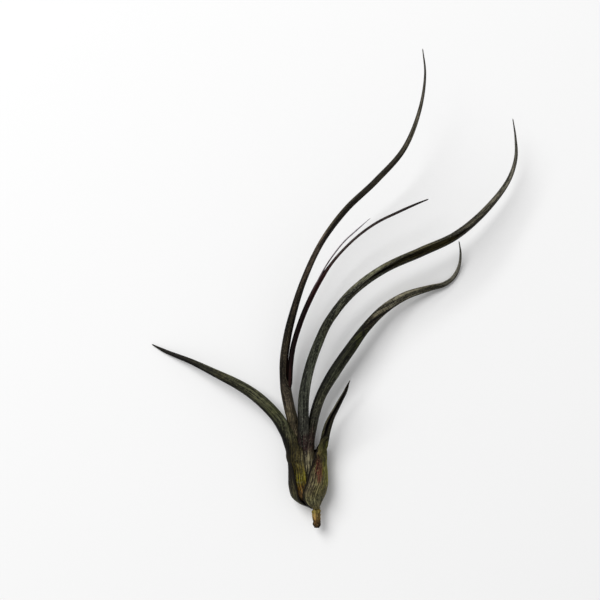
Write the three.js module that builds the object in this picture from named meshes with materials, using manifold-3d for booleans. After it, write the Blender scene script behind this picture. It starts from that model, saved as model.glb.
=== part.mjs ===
// Tillandsia pseudobaileyi: a small bulbous air plant, as picked, lying on a table.
//
// Millimetres, +Z up. The bulb lies along +Y with its bare foot towards -Y, and rests on a small
// flat spot on its underside, whose middle becomes the origin once the leaves are made. Two leaves
// also touch the table, one at its tip and one at its bend. The leaves spread towards +Y, and the
// tallest ones rise off the table.
//
// Every leaf is one piece. Its lower end is a thin inflated sheath that clasps the younger leaves,
// and its upper end is a blade, rolled lengthwise into a gutter that narrows to a point. Across its
// length a leaf is a curved wall that runs round from one edge to the other. Angles round a leaf
// are in degrees: 0 is the right-hand side of someone who walks up the leaf, and 90 is the top.

import * as THREE from 'three';
import { mergeVertices } from 'three/addons/utils/BufferGeometryUtils.js';
import Module from 'manifold-3d';

// Driving dimensions
const CLEARANCE = 0.3; // between one leaf and the next one that it clasps
const SHEATH_WALL = 0.7;
const TIP = 0.3; // half width of every leaf at its point
const THICKEST_WALL = 0.9; // as a share of the half width, so that a channel is left
const BULB_AXIS = new THREE.Vector3(0, 1, 0);
const FLAT_SPOT = new THREE.Vector3(2, 0.8, 0); // its middle, in the routes' millimetres

// How finely the leaves are cut into facets
const OUTER_STEPS = 12; // round the outside of a leaf
const INNER_STEPS = 7; // round its channel
const ROUND_STEPS = 10; // round a stalk
const LONGEST_STEP = 6.5; // millimetres from one section to the next
const MOST_BEND = 9; // degrees that a leaf bends from one section to the next
const MOST_ROLL = 13; // degrees that it rolls
const MOST_SWELL = 0.9; // millimetres that its half width changes

// The short woody stem: a knobbly bare foot below the sheaths, and a thin core inside the bulb
const stem = {
  route: [
    [6.1, -22.6, 5.5], [6.2, -19.8, 5.5], [6.1, -16.7, 5.6], [5.7, -14, 5.6], [4.4, -11.4, 5.6],
    [2.2, -7, 5.7], [1, -3, 5.8],
  ],
  girth: [[0, 1.2, 1.2], [0.9, 1.7, 1.7], [3.2, 1.85, 1.85], [5.6, 2, 2], [7.6, 1.95, 1.9],
    [8.8, 1.2, 1.2], [14, 1.1, 1.1], [21, 0.9, 0.9]],
};

// Each leaf: the route of its middle line, its half width and half depth, the thickness of its wall
// and where its two edges lie. In the last three lists the first number is the distance along it.

// The youngest leaf, a thread that lies in the channel of the wine-red leaf
const threadLeaf = {
  route: [
    [0.4, 5, 6], [-1, 11.4, 5.7], [-2.4, 17, 5.6], [-4.5, 24.7, 6.2], [-6.5, 32.7, 7], [-6.8, 37, 7.8],
    [-6.05, 41, 8.8], [-5.6, 49, 10.7], [-4.4, 57.4, 12.5], [-0.9, 68.8, 15.2], [3, 78.2, 17.2],
    [7, 86.8, 19.2], [10.2, 92.5, 20.6], [14.3, 98.4, 22], [18.2, 103, 23], [23.4, 107.7, 24],
    [29, 112.6, 25],
  ],
  girth: [[0, TIP, TIP]],
};

// The slender wine-red leaf, which comes out of the mouth of the tall one
const wineLeaf = {
  route: [
    [0.7, 0.5, 6], [0.4, 5, 5.9], [-0.7, 11.4, 5.5], [-2.1, 17, 5.4], [-4.2, 24.7, 6], [-6.2, 32.7, 6.8],
    [-6.5, 37, 7.6], [-5.75, 41, 8.6], [-5.3, 49, 10.5], [-4.1, 57.4, 12.3], [-0.6, 68.8, 15],
    [3.3, 78, 17], [8, 86.8, 18.9], [14.5, 95.85, 20.5], [23.5, 104.8, 21.8], [31.8, 110.7, 22.4],
    [40.55, 115, 22.6], [48.1, 118.4, 22.5], [54, 120.8, 22],
  ],
  girth: [[0, 1.3, 0.9], [4.4, 1.6, 1.1], [11, 1.4, 1.2], [20, 1.1, 1.1], [37, 1.1, 1.1], [43, 1.2, 1.2],
    [84, 1.15, 1.15], [92, 1, 1], [98, 0.68, 0.68], [113, 0.56, 0.56], [136, 0.58, 0.58], [150, 0.4, 0.4]],
  wall: [[0, 0.6]],
  edges: [[0, -178, 118]],
  sheath: 8,
};

// The long S-shaped leaf. Its gutter faces down at the neck and turns by way of the right to face
// up, where it opens wide along the second bend
const longLeaf = {
  route: [
    [1.5, -4.8, 5.8], [0.9, -1.7, 5.9], [0.5, 3.6, 6], [0.2, 9, 6.6], [0.1, 16, 8], [0.3, 23.2, 9.6],
    [0.4, 34, 11.8], [1.7, 42.7, 13.5], [3.9, 51.2, 15], [7, 59.5, 16.5], [11, 68, 17.8],
    [21, 80.7, 19.5], [34.8, 90.9, 19.5], [51.15, 98.35, 18], [66, 105.3, 15.5], [79.6, 116.65, 12.5],
    [89.75, 129.75, 11], [92.9, 139.6, 11.5], [92.5, 148.3, 13], [91, 156.3, 15],
  ],
  girth: [[0, 1.7, 1.5], [3.2, 2.5, 1.9], [8.5, 3, 2.1], [14, 2.8, 2.3], [21, 2.6, 2.5], [28, 2.45, 2.45],
    [40, 2.4, 2.4], [48, 2.25, 2.25], [66, 2.05, 2.05], [76, 1.9, 1.9], [109, 2, 2], [127, 2.1, 2.1],
    [144, 1.85, 1.85], [162, 1.5, 1.5], [178, 1.1, 1.1], [189, 0.78, 0.78], [206, TIP, TIP]],
  wall: [[0, SHEATH_WALL], [14, SHEATH_WALL], [28, 1.5], [95, 1.5], [107, 0.8], [140, 0.7], [152, 0.9],
    [162, 0.9], [189, 0.6]],
  edges: [[0, -35, 215], [14, -35, 215], [28, -60, 240], [40, -62, 242], [57, -46, 262], [70, -14, 306],
    [80, 30, 360], [86, 62, 406], [96, 72, 420], [104, 94, 422], [112, 98, 410], [120, 116, 410],
    [130, 118, 402], [138, 116, 400], [146, 92, 408], [153, 66, 412], [165, 40, 386], [206, 35, 380]],
  sheath: 10,
};

// The tallest leaf: a tube at the neck, with a mouth on its right where the wine-red one comes out
const tallLeaf = {
  route: [
    [2.2, -8.1, 5.8], [1.2, -4.8, 5.9], [0.9, -0.8, 6], [0.7, 4, 6], [0, 9.3, 5.8], [-1.3, 13.6, 5.6],
    [-3.9, 22.9, 5.7], [-6.1, 31.7, 6.5], [-7.65, 41, 8], [-8.1, 50.3, 9.8], [-7, 59.6, 11.8],
    [-5.1, 68.4, 13.6], [0.3, 85.6, 17], [8, 102, 20], [18.3, 116, 23], [31.2, 128.3, 25.5],
    [42.85, 141.5, 28], [49.3, 157.6, 31], [51.3, 172, 34.2], [50, 182.5, 37],
  ],
  girth: [[0, 2.3, 2.1], [3.5, 3.6, 2.9], [7.5, 4.1, 3.1], [12, 4.1, 3.1], [18, 3.6, 3], [22, 3.1, 2.9],
    [32, 2.5, 2.5], [41, 2.45, 2.45], [47, 2.45, 2.45], [52, 2.2, 2.2], [60, 1.95, 1.95],
    [78, 1.72, 1.72], [90, 1.48, 1.48], [97, 1.38, 1.38], [115, 1.3, 1.3], [133, 1.35, 1.35],
    [151, 1.3, 1.3], [169, 1.12, 1.12], [186, 0.8, 0.8], [201, 0.5, 0.5], [212, TIP, TIP]],
  wall: [[0, SHEATH_WALL], [22, SHEATH_WALL], [32, 0.8], [60, 0.8], [70, 1.1], [97, 1], [151, 0.9],
    [186, 0.6]],
  edges: [[0, 60, 350], [4, 50, 360], [12, 40, 370], [18, 45, 365], [22, 68, 340], [26, 60, 330],
    [31, -10, 310], [36, -66, 286], [45, -66, 286], [48, -20, 300], [50.5, 37, 322], [54, 68, 333],
    [60, 57, 335], [69, 55, 355], [97, 43, 347], [115, 28, 332], [133, 8, 312], [151, -2, 302],
    [169, -2, 302], [212, 28, 332]],
  sheath: 15,
};

// The leaf on the right, which ends in a hook and rolls over half a turn on its way
const hookedLeaf = {
  route: [
    [4, -10.3, 5.8], [2.2, -7.4, 5.9], [1.2, -1.7, 6], [1.2, 3.1, 6], [1.5, 8, 6], [1.95, 12.4, 6],
    [2.95, 16.8, 6.2], [4.05, 21.2, 6.4], [5.35, 27.4, 6.8], [8.15, 35.8, 7.9], [14.5, 47, 9.3],
    [20.85, 56.2, 9.9], [27.35, 65.1, 9.8], [35.4, 73.3, 8.3], [45, 79.3, 5.8], [56.1, 82.8, 2.9],
    [62.6, 84.5, 1.45], [66.7, 87.4, 1], [69.2, 92.2, 1.6], [69.8, 98, 3.2], [68.8, 103.7, 5.5],
  ],
  girth: [[0, 2.3, 2.2], [3.4, 4.1, 3.4], [9, 5.3, 4.1], [14, 5.2, 4.1], [19, 4.4, 3.8], [23, 3.4, 3.2],
    [28, 2.5, 2.6], [32, 2.2, 2.3], [39, 2.22, 2.22], [48, 2.28, 2.28], [60, 2.62, 2.62], [72, 2.5, 2.5],
    [83, 2.15, 2.15], [94, 2.1, 2.1], [106, 1.85, 1.85], [118, 1.42, 1.42], [130, 0.95, 0.95],
    [141, 0.5, 0.5], [148, TIP, TIP]],
  wall: [[0, SHEATH_WALL], [23, SHEATH_WALL], [32, 1.1], [39, 1.6], [72, 1.7], [94, 1.4], [118, 0.9],
    [130, 0.65], [141, 0.6]],
  edges: [[0, -150, 110], [9, -150, 105], [19, -150, 104], [28, -158, 116], [34, -172, 140],
    [46, -176, 144], [56, -188, 150], [64, -196, 156], [75, -204, 148], [80, -225, 120], [84, -248, 88],
    [88, -270, 62], [92, -292, 36], [98, -318, 6], [118, -335, -15], [136, -355, -40]],
  sheath: 20,
};

// The leaf on the left, whose gutter faces down
const leftLeaf = {
  route: [
    [4.9, -12.2, 5.8], [2.4, -10.1, 5.9], [1.8, -7, 5.9], [1.2, -1.7, 6], [1, 2.7, 6], [-0.2, 7, 6],
    [-1.85, 11.3, 6.1], [-4.3, 15, 6.3], [-7, 19.5, 6.7], [-11.1, 26, 7.4], [-16.3, 31.8, 8.1],
    [-22.1, 36.7, 8.6], [-28.5, 40.7, 8.6], [-38.8, 45.7, 7.1], [-49.3, 50.5, 4.3], [-56.6, 53.2, 2],
    [-61.2, 55, 0.85], [-67, 58, 0.6],
  ],
  girth: [[0, 1.7, 1.7], [3.4, 3.9, 3.3], [6.6, 5.9, 4.6], [12, 6.5, 5.1], [16, 6.4, 5.1], [18, 6.5, 5.1],
    [20.5, 6.75, 5], [22, 6.65, 4.9], [25, 5.65, 4.45], [30, 4.05, 3.75], [35, 3.05, 3], [43, 2.7, 2.7],
    [51, 2.65, 2.65], [66, 2.2, 2.2], [89, 1.25, 1.25], [97, 1, 1], [103, 0.78, 0.78], [110, TIP, TIP]],
  wall: [[0, SHEATH_WALL], [21, SHEATH_WALL], [30, 0.9], [35, 1.4], [43, 1.9], [58, 1.8], [89, 0.9],
    [103, 0.6]],
  edges: [[0, 75, 300], [12, 86, 300], [16, 88, 300], [21, 83, 300], [25, 70, 306], [30, 40, 296],
    [35, 5, 282], [41, -52, 250], [110, -52, 250]],
  sheath: 21,
};

// The short leaf on the right. Its swollen sheath goes all round the bulb, its edges meet in a
// notch on the upper left, and its blade opens at a collar where its gutter faces up
const shortLeaf = {
  route: [
    [5.6, -14.1, 5.7], [3.3, -11.8, 6], [2.4, -9.2, 6], [2.4, -6.8, 6], [2.45, -1.7, 6], [2.35, 2.7, 6],
    [2.25, 7, 6], [4, 9.6, 6.3], [6.9, 11.8, 6.8], [8.8, 13.6, 7.3], [9.6, 16, 8], [10.2, 19.2, 9],
    [11.3, 23.2, 10], [12.8, 26.9, 11.3], [14.6, 30.4, 12.6], [16.4, 34, 14], [18.3, 37.6, 15.5],
    [19.6, 41, 17], [20.4, 43, 17.6],
  ],
  girth: [[0, 2.3, 2.15], [3.2, 4.9, 4.1], [6, 7.1, 5.3], [8.3, 8.1, 5.8], [13, 8.8, 6.15],
    [18, 8.7, 6.15], [22, 8.55, 5.9], [25, 7.2, 5.1], [28.5, 4.4, 3.7], [31, 2.55, 2.5], [34, 1.95, 1.95],
    [37, 1.87, 1.87], [42, 1.7, 1.7], [46, 1.42, 1.42], [50, 1.22, 1.22], [54, 1.08, 1.08],
    [58, 0.9, 0.9], [62, 0.66, 0.66], [65, TIP, TIP]],
  wall: [[0, SHEATH_WALL], [28, SHEATH_WALL], [32, 1], [36, 0.85], [40, 0.7], [54, 0.62]],
  edges: [[0, -236, 110], [8, -236, 107], [13, -230, 95], [18, -222, 86], [21.5, -213, 76],
    [24, -180, 75], [26, -118, 81], [27.5, -100, 90], [29, -98, 98], [30, -113, 113], [32, -142, 146],
    [34, -172, 172], [36, -216, 132], [38, -246, 86], [41, -240, 82], [47, -238, 80], [53, -238, 70],
    [65, -234, 72]],
  sheath: 24,
};

const wasm = await Module();
wasm.setup();

// Values between keys [distance, value, ...], on a smooth curve that never overshoots a key
function between(keys, at) {
  const last = keys.length - 1;
  if (at <= keys[0][0]) return keys[0].slice(1);
  if (at >= keys[last][0]) return keys[last].slice(1);
  const low = keys.findIndex((key, i) => at < keys[i + 1][0]);
  const secant = (i, column) => (keys[i + 1][column] - keys[i][column]) / (keys[i + 1][0] - keys[i][0]);
  const slope = (i, column) => {
    if (i === 0 || i === last) return 0;
    const before = secant(i - 1, column);
    const after = secant(i, column);
    return before * after > 0 ? (2 * before * after) / (before + after) : 0;
  };
  const width = keys[low + 1][0] - keys[low][0];
  const t = (at - keys[low][0]) / width;
  return keys[low].slice(1).map((value, i) => {
    const column = i + 1;
    const next = keys[low + 1][column];
    const rise = (2 * t ** 3 - 3 * t ** 2 + 1) * value + (3 * t ** 2 - 2 * t ** 3) * next;
    const lean = (t ** 3 - 2 * t ** 2 + t) * slope(low, column) + (t ** 3 - t ** 2) * slope(low + 1, column);
    return rise + lean * width;
  });
}

// What a leaf is like at one distance along it. Its sections stand square to the bulb in the
// sheath, and turn to stand square to the route in the blade
function slice(leaf, route, length, at) {
  const share = Math.min(at / length, 1);
  const sheath = leaf.sheath ?? 0;
  const blade = THREE.MathUtils.smoothstep(at, sheath, sheath * 1.8 + 1);
  const girth = between(leaf.girth, at);
  return {
    at,
    middle: route.getPointAt(share),
    along: BULB_AXIS.clone().lerp(route.getTangentAt(share), blade).normalize(),
    girth,
    wall: leaf.wall ? Math.min(between(leaf.wall, at)[0], THICKEST_WALL * girth[0]) : 0,
    edges: leaf.edges ? between(leaf.edges, at) : [0, 360],
  };
}

// The slices that a leaf's body is drawn through: the next one comes where the leaf has moved on,
// bent, rolled or swelled enough
function slices(leaf) {
  const points = leaf.route.map((point) => new THREE.Vector3(...point));
  const route = new THREE.CatmullRomCurve3(points, false, 'centripetal');
  route.arcLengthDivisions = 600;
  const length = route.getLength();
  const chosen = [slice(leaf, route, length, 0)];
  for (let at = 1; at < length - 1; at += 0.5) {
    const next = slice(leaf, route, length, at);
    const last = chosen.at(-1);
    const bend = THREE.MathUtils.radToDeg(next.along.angleTo(last.along));
    const roll = Math.max(...next.edges.map((edge, i) => Math.abs(edge - last.edges[i])));
    const swell = Math.abs(next.girth[0] - last.girth[0]);
    const far = at - last.at >= LONGEST_STEP;
    if (far || bend > MOST_BEND || roll > MOST_ROLL || swell > MOST_SWELL) chosen.push(next);
  }
  chosen.push(slice(leaf, route, length, length));
  return chosen;
}

// The outline of a slice, as [right, up] pairs. It runs back along the outside from one edge to the
// other and forward along the channel. A stalk, or the room that a leaf takes up, is an oval
function outline({ girth: [halfWidth, halfDepth], wall, edges: [from, to] }, grow) {
  const spot = (degrees, inset) => {
    const angle = THREE.MathUtils.degToRad(degrees);
    return [Math.cos(angle) * (halfWidth + grow - inset), Math.sin(angle) * (halfDepth + grow - inset)];
  };
  const arc = (start, end, steps, count, inset) => Array.from({ length: count }, (_, i) => (
    spot(start + ((end - start) * i) / steps, inset)));
  if (!wall || grow) return arc(360, 0, ROUND_STEPS, ROUND_STEPS, 0);
  const outside = arc(to, from, OUTER_STEPS, OUTER_STEPS + 1, 0);
  const channel = arc(from, to, INNER_STEPS, INNER_STEPS + 1, wall);
  return [...outside, ...channel];
}

// A closed body along a leaf, or with grow the room that it takes up, grown by that much
function sweep(leaf, grow = 0) {
  const up = new THREE.Vector3(0, 0, 1);
  const rings = slices(leaf).map((cut) => {
    const right = new THREE.Vector3().crossVectors(cut.along, up).normalize();
    const top = new THREE.Vector3().crossVectors(right, cut.along);
    const flat = outline(cut, grow);
    const points = flat.map(([p, q]) => cut.middle.clone().addScaledVector(right, p).addScaledVector(top, q));
    return { flat, points };
  });
  return closedBody(rings);
}

// Joins rings of equal count into one closed body, with a cap at each end
function closedBody(rings) {
  const count = rings[0].points.length;
  const positions = rings.flatMap((ring) => ring.points.flatMap((point) => point.toArray()));
  const faces = [];
  for (let i = 0; i < rings.length - 1; i += 1) {
    for (let j = 0; j < count; j += 1) {
      const a = i * count + j;
      const b = i * count + ((j + 1) % count);
      faces.push(a, b, b + count, a, b + count, a + count);
    }
  }
  const cap = ({ flat }) => {
    const contour = flat.map(([p, q]) => new THREE.Vector2(-p, q));
    return THREE.ShapeUtils.triangulateShape(contour, []);
  };
  const end = (rings.length - 1) * count;
  cap(rings[0]).forEach(([a, b, c]) => faces.push(c, b, a));
  cap(rings.at(-1)).forEach(([a, b, c]) => faces.push(end + a, end + b, end + c));
  const geometry = new THREE.BufferGeometry();
  geometry.setAttribute('position', new THREE.Float32BufferAttribute(positions, 3));
  geometry.setIndex(faces);
  return geometry;
}

function solidOf(geometry) {
  const bare = geometry.clone();
  bare.deleteAttribute('normal');
  bare.deleteAttribute('uv');
  const merged = mergeVertices(bare);
  const vertProperties = new Float32Array(merged.attributes.position.array);
  const triVerts = new Uint32Array(merged.index.array);
  return new wasm.Manifold(new wasm.Mesh({ numProp: 3, vertProperties, triVerts }));
}

function geometryOf(solid) {
  const { vertProperties, triVerts } = solid.getMesh();
  const geometry = new THREE.BufferGeometry();
  geometry.setAttribute('position', new THREE.BufferAttribute(vertProperties, 3));
  geometry.setIndex(new THREE.BufferAttribute(triVerts, 1));
  geometry.computeVertexNormals();
  return geometry;
}

// The main body of a cut solid, without the crumbs that a cut can leave beside it
function mainBody(solid) {
  return solid.decompose().sort((a, b) => b.volume() - a.volume())[0];
}

// The table top, as a slab that trims what would reach below it
function tableSlab() {
  const [width, thickness] = [60, 4];
  return solidOf(new THREE.BoxGeometry(width, width, thickness).translate(0, 0, -thickness / 2));
}

function nodeMesh(name, solid, color, roughness) {
  const geometry = geometryOf(solid).translate(-FLAT_SPOT.x, -FLAT_SPOT.y, -FLAT_SPOT.z);
  const material = new THREE.MeshStandardMaterial({ color, roughness, metalness: 0 });
  const mesh = new THREE.Mesh(geometry, material);
  mesh.name = name;
  return mesh;
}

// Youngest first, because each leaf is cut clear of everything that it clasps
const pieces = [
  { name: 'stem', form: stem, color: '#8a8050', roughness: 0.85 },
  { name: 'leaf_thread', form: threadLeaf, color: '#6d6670', roughness: 0.6 },
  { name: 'leaf_wine', form: wineLeaf, color: '#4d2b2e', roughness: 0.55 },
  { name: 'leaf_long', form: longLeaf, color: '#59605a', roughness: 0.65 },
  { name: 'leaf_tall', form: tallLeaf, color: '#5f574c', roughness: 0.65 },
  { name: 'leaf_hooked', form: hookedLeaf, color: '#626555', roughness: 0.65 },
  { name: 'leaf_left', form: leftLeaf, color: '#63674d', roughness: 0.65 },
  { name: 'leaf_short', form: shortLeaf, color: '#6f6c58', roughness: 0.7 },
];

const plant = new THREE.Group();
let clasped = null;
for (const { name, form, color, roughness } of pieces) {
  let solid = solidOf(sweep(form)).subtract(tableSlab());
  if (clasped) solid = solid.subtract(clasped);
  plant.add(nodeMesh(name, mainBody(solid), color, roughness));
  const room = solidOf(sweep(form, CLEARANCE));
  clasped = clasped ? clasped.add(room) : room;
}

export default plant;
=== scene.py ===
"""Looks of a small bulbous air plant that lies on a pale table.

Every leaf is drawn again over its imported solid, from the same routes and girths, with a finely
ribbed skin, thin rolled edges and a hair-fine point. Lengths are millimetres in the routes' own
frame until a section is placed, and metres in the row frame after that.
"""

import logging
import math
from collections.abc import Sequence
from dataclasses import dataclass, field
from enum import Enum

import bmesh
import bpy
import numpy as np
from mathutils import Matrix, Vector, noise

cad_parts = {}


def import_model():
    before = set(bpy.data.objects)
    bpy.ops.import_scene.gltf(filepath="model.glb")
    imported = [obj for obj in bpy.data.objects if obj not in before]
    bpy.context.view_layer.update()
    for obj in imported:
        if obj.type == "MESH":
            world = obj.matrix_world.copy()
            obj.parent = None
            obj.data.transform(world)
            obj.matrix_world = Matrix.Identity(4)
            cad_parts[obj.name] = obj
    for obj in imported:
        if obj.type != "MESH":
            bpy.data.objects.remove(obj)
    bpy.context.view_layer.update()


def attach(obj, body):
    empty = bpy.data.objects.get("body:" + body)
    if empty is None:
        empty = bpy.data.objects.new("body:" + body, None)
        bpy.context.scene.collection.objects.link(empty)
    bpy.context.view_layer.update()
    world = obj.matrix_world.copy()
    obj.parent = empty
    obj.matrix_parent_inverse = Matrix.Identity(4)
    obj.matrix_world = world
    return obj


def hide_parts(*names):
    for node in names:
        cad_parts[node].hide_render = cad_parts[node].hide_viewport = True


LOG = logging.getLogger("air_plant")

MM = 0.001
FLAT_SPOT = np.array((2.0, 0.8, 0.0))
BULB_AXIS = np.array((0.0, 1.0, 0.0))
UP = np.array((0.0, 0.0, 1.0))

Colour = tuple[int, int, int]
Span = tuple[float, float]
Point = tuple[float, float, float]
Keys = tuple[tuple[float, ...], ...]
Stops = tuple[tuple[float, Colour], ...]
Socket = bpy.types.NodeSocket
Feed = Socket | float | tuple[float, ...]


class Side(Enum):
    """Which side of a leaf's wall a point of its section lies on."""

    OUTSIDE = 0.0
    CHANNEL = 1.0


class Mix(Enum):
    """How one colour is laid over another."""

    OVER = "MIX"
    TIMES = "MULTIPLY"


class Sum(Enum):
    """What is done with two numbers."""

    PLUS = "ADD"
    TIMES = "MULTIPLY"


def linear(colour: Colour) -> tuple[float, float, float, float]:
    """Turns a screen colour from 0 to 255 into the linear colour that shaders use.

    Args:
        colour: Red, green and blue as a screen shows them.

    Returns:
        Linear red, green, blue and an alpha of 1.
    """
    parts = [c / 255 for c in colour]
    red, green, blue = (p / 12.92 if p <= 0.04045 else ((p + 0.055) / 1.055) ** 2.4 for p in parts)
    return red, green, blue, 1.0


def place(points: np.ndarray) -> np.ndarray:
    """Moves points from the routes' millimetres to the row frame in metres."""
    return (points - FLAT_SPOT) * MM


def between(keys: Keys, at: np.ndarray) -> np.ndarray:
    """Reads smooth values between keys, on a curve that never overshoots a key.

    Args:
        keys: Rows of a distance along the leaf and the values there.
        at: Distances along the leaf.

    Returns:
        One row of values for each distance.
    """
    table = np.array(keys, dtype=float)
    if len(table) == 1:
        return np.repeat(table[:, 1:], len(at), axis=0)
    places, values = table[:, 0], table[:, 1:]
    secants = np.diff(values, axis=0) / np.diff(places)[:, None]
    slopes = np.zeros_like(values)
    product, total = secants[:-1] * secants[1:], secants[:-1] + secants[1:]
    rising = product > 0
    slopes[1:-1][rising] = 2 * product[rising] / total[rising]
    low = np.clip(np.searchsorted(places, at, side="right") - 1, 0, len(places) - 2)
    width = (places[low + 1] - places[low])[:, None]
    t = np.clip((at - places[low])[:, None] / width, 0, 1)
    rise = (2 * t**3 - 3 * t**2 + 1) * values[low] + (3 * t**2 - 2 * t**3) * values[low + 1]
    lean = (t**3 - 2 * t**2 + t) * slopes[low] + (t**3 - t**2) * slopes[low + 1]
    return rise + lean * width


def smooth(start: float, end: float, at: np.ndarray) -> np.ndarray:
    """Rises smoothly from 0 at start to 1 at end."""
    t = np.clip((at - start) / (end - start), 0, 1)
    return t * t * (3 - 2 * t)


def put(name: str, data: bpy.types.ID) -> bpy.types.Object:
    """Puts a mesh, a light or a camera in the scene.

    Args:
        name: The new object's name.
        data: What the object shows.

    Returns:
        The object.
    """
    thing = bpy.data.objects.new(name, data)
    bpy.context.scene.collection.objects.link(thing)
    return thing


@dataclass
class Route:
    """The middle line of a leaf: a smooth curve through a few points.

    Args:
        points: The points, in millimetres.
        fineness: How many pieces each stretch is measured in.
        reach: How far before and behind a place the direction there is read.
    """

    points: Sequence[Point]
    fineness: int = 160
    reach: float = 0.25
    line: np.ndarray = field(init=False)
    measured: np.ndarray = field(init=False)

    def __post_init__(self) -> None:
        """Draws the curve once and measures along it."""
        given = np.array(self.points, dtype=float)
        ends = 2 * given[0] - given[1], 2 * given[-1] - given[-2]
        knots = np.vstack([ends[0], given, ends[1]])
        stretches = [self._stretch(*knots[i : i + 4]) for i in range(len(given) - 1)]
        self.line = np.vstack([*stretches, given[-1:]])
        steps = np.linalg.norm(np.diff(self.line, axis=0), axis=1)
        self.measured = np.concatenate([[0.0], np.cumsum(steps)])

    def _stretch(self, a: np.ndarray, b: np.ndarray, c: np.ndarray, d: np.ndarray) -> np.ndarray:
        """Draws the centripetal curve between two points.

        Args:
            a: The point before it.
            b: Where it starts.
            c: Where it ends.
            d: The point after it.

        Returns:
            Points of the curve from b up to c.
        """
        gaps = [math.sqrt(float(np.linalg.norm(q - p))) for p, q in ((a, b), (b, c), (c, d))]
        leave = ((b - a) / gaps[0] - (c - a) / (gaps[0] + gaps[1]) + (c - b) / gaps[1]) * gaps[1]
        arrive = ((c - b) / gaps[1] - (d - b) / (gaps[1] + gaps[2]) + (d - c) / gaps[2]) * gaps[1]
        t = np.linspace(0, 1, self.fineness, endpoint=False)[:, None]
        cubic = 2 * b - 2 * c + leave + arrive
        square = -3 * b + 3 * c - 2 * leave - arrive
        return b + leave * t + square * t**2 + cubic * t**3

    @property
    def length(self) -> float:
        """The length of the curve in millimetres."""
        return float(self.measured[-1])

    def stations(self, step: float) -> np.ndarray:
        """Spaces distances evenly from end to end, about a step apart."""
        return np.linspace(0, self.length, round(self.length / step) + 1)

    def _spots(self, where: np.ndarray) -> np.ndarray:
        """Finds the points at some distances along the route."""
        return np.stack([np.interp(where, self.measured, self.line[:, i]) for i in range(3)], axis=1)

    def at(self, distances: np.ndarray) -> tuple[np.ndarray, np.ndarray]:
        """Finds where the route is, and which way it runs, at each distance.

        Args:
            distances: Distances along the route.

        Returns:
            The points there, and unit vectors along the route.
        """
        ahead = self._spots(np.minimum(distances + self.reach, self.length))
        run = ahead - self._spots(np.maximum(distances - self.reach, 0))
        return self._spots(distances), run / np.linalg.norm(run, axis=1, keepdims=True)


@dataclass(frozen=True)
class Patch:
    """A soft-edged patch of colour on a leaf. Most are stains; some are painted shade.

    Args:
        middle: Its middle, in the routes' millimetres.
        reach: How far it spreads along each axis.
        colour: Its colour.
        strength: How much of the skin's own colour it covers.
    """

    middle: Point
    reach: Point
    colour: Colour
    strength: float


@dataclass(frozen=True)
class LeafFinish:
    """Colours of a leaf, by its share of the way from the base to the point.

    Args:
        skin: Colours of the outside, as (share, colour).
        channel: Colours of the inside of the gutter.
        scurf: Colour of the film of tiny scales.
        scurf_amount: How much of the skin the scales cover.
        streaks: How much the veins lighten and darken the skin.
        roughness: How rough the skin is.
        patches: Stains, and patches of painted shade, laid over the skin.
        wrinkles: Stretches, as (start, end), with fine wrinkles across, drawn only as painted shade in
            their creases.
        margin: How dark the painted shadow line along both edges is, from 0 to 1.
    """

    skin: Stops
    channel: Stops
    scurf: Colour = (150, 148, 132)
    scurf_amount: float = 0.34
    streaks: float = 0.8
    roughness: float = 0.62
    patches: tuple[Patch, ...] = ()
    wrinkles: tuple[Span, ...] = ()
    margin: float = 0.55


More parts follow.
